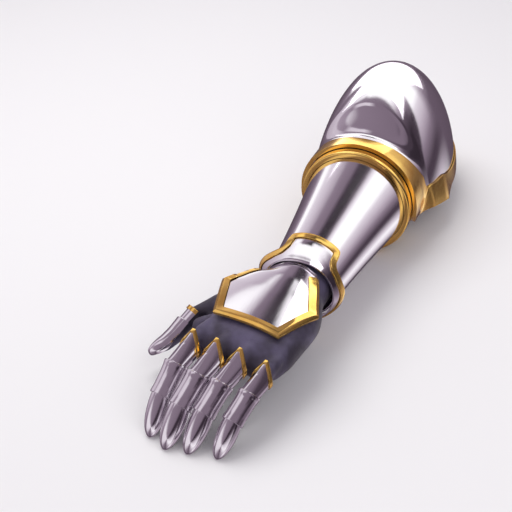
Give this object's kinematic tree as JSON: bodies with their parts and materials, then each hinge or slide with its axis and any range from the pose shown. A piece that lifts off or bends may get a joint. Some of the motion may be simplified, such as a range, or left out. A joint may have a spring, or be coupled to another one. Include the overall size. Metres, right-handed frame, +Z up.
{
  "type": "armoured gauntlet",
  "caption": "Left-hand plate gauntlet with a forearm sleeve, flared wrist cuff, hand and finger plates over a leather glove, and a domed elbow cap.",
  "frame": {"origin": "middle of the box of the whole gauntlet, on the surface it lies on", "axes": "+Y from the fingers to the elbow, +X to the little finger, +Z up off the back of the hand"},
  "size_m": [0.1886, 0.5396, 0.156],
  "materials": {
    "steel": "polished",
    "gold": "polished, gold coloured",
    "leather": "smooth dark purple-grey"
  },
  "bodies": {
    "root": {"sleeve": "steel", "sleeve_lining": "leather", "band_ring": "gold", "rim_ring": "gold", "couter": "steel", "couter_trim": "gold", "cuff": "steel", "cuff_trim": "gold", "finger_tip_index": "steel", "finger_mid_index": "steel", "knuckle_plate_index": "steel", "knuckle_trim_index": "gold", "finger_tip_middle": "steel", "finger_mid_middle": "steel", "knuckle_plate_middle": "steel", "knuckle_trim_middle": "gold", "finger_tip_ring": "steel", "finger_mid_ring": "steel", "knuckle_plate_ring": "steel", "knuckle_trim_ring": "gold", "finger_tip_little": "steel", "finger_mid_little": "steel", "knuckle_plate_little": "steel", "knuckle_trim_little": "gold", "thumb_plate": "steel", "thumb_trim": "gold", "thumb_tip": "steel", "glove": "leather", "hand_plate": "steel", "hand_plate_trim": "gold"}
  },
  "joints": []
}
